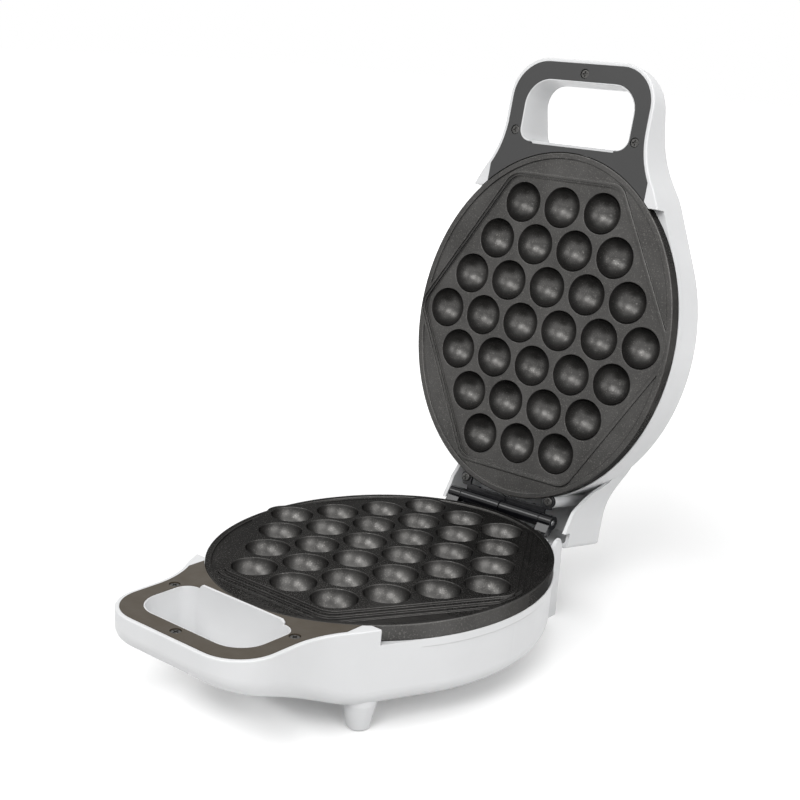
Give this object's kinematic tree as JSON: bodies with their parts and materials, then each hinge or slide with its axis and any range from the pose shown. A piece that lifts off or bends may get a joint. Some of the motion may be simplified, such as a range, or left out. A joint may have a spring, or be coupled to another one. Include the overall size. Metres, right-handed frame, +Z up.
{
  "type": "egg waffle pan",
  "caption": "Countertop maker of bubble waffles: two hinged housings with non-stick plates of round cells, looped handles and a wrapped rear hinge.",
  "frame": {"origin": "on the table, under the middle of the open appliance's bounding box", "axes": "+Z up, -Y towards the user and the base's handle, +X to the user's right; the hinge runs along X"},
  "size_m": [0.1978, 0.3907, 0.3605],
  "materials": {
    "white_plastic": "satin moulded",
    "lower_cover_plastic": "fine matte grain",
    "upper_cover_plastic": "fine matte grain",
    "non_stick": "dark non-stick coating on cast aluminium",
    "hinge_black": "gloss black",
    "screw_dark": "black oxide",
    "steel": "plain",
    "heater_steel": "annealed",
    "shield_aluminium": "bright rolled sheet",
    "rubber": "matte",
    "terminal_plastic": "plain",
    "ceramic": "glazed",
    "lens_clear": "polished milky lens",
    "lamp_glass": "clear"
  },
  "bodies": {
    "base": {"lower_housing": "white_plastic", "lower_handle_cover": "lower_cover_plastic", "lower_handle_screws": "screw_dark", "lower_cooking_plate": "non_stick", "lower_heater_element": "heater_steel", "lower_heater_clips": "steel", "lower_clip_screws": "steel", "lower_heat_shield": "shield_aluminium", "lower_plate_screws": "steel", "hinge_bracket": "hinge_black", "hinge_bracket_screws": "screw_dark", "hinge_pin": "steel", "cord_gland": "rubber", "terminal_block": "terminal_plastic", "thermostat": "ceramic", "thermal_fuse": "steel"},
    "lid": {"upper_housing": "white_plastic", "upper_handle_cover": "upper_cover_plastic", "upper_handle_screws": "screw_dark", "upper_cooking_plate": "non_stick", "upper_heater_element": "heater_steel", "upper_heater_clips": "steel", "upper_clip_screws": "steel", "upper_heat_shield": "shield_aluminium", "upper_plate_screws": "steel", "hinge_leaf_left": "hinge_black", "hinge_leaf_right": "hinge_black", "hinge_leaf_screws": "screw_dark", "indicator_lens": "lens_clear", "indicator_lamp": "lamp_glass"}
  },
  "joints": [
    {"name": "lid_hinge", "type": "hinge", "parent": "base", "child": "lid", "pos_m": [0, 0.1072, 0.063], "axis": [1, 0, 0], "range_deg": [0, 100]}
  ]
}
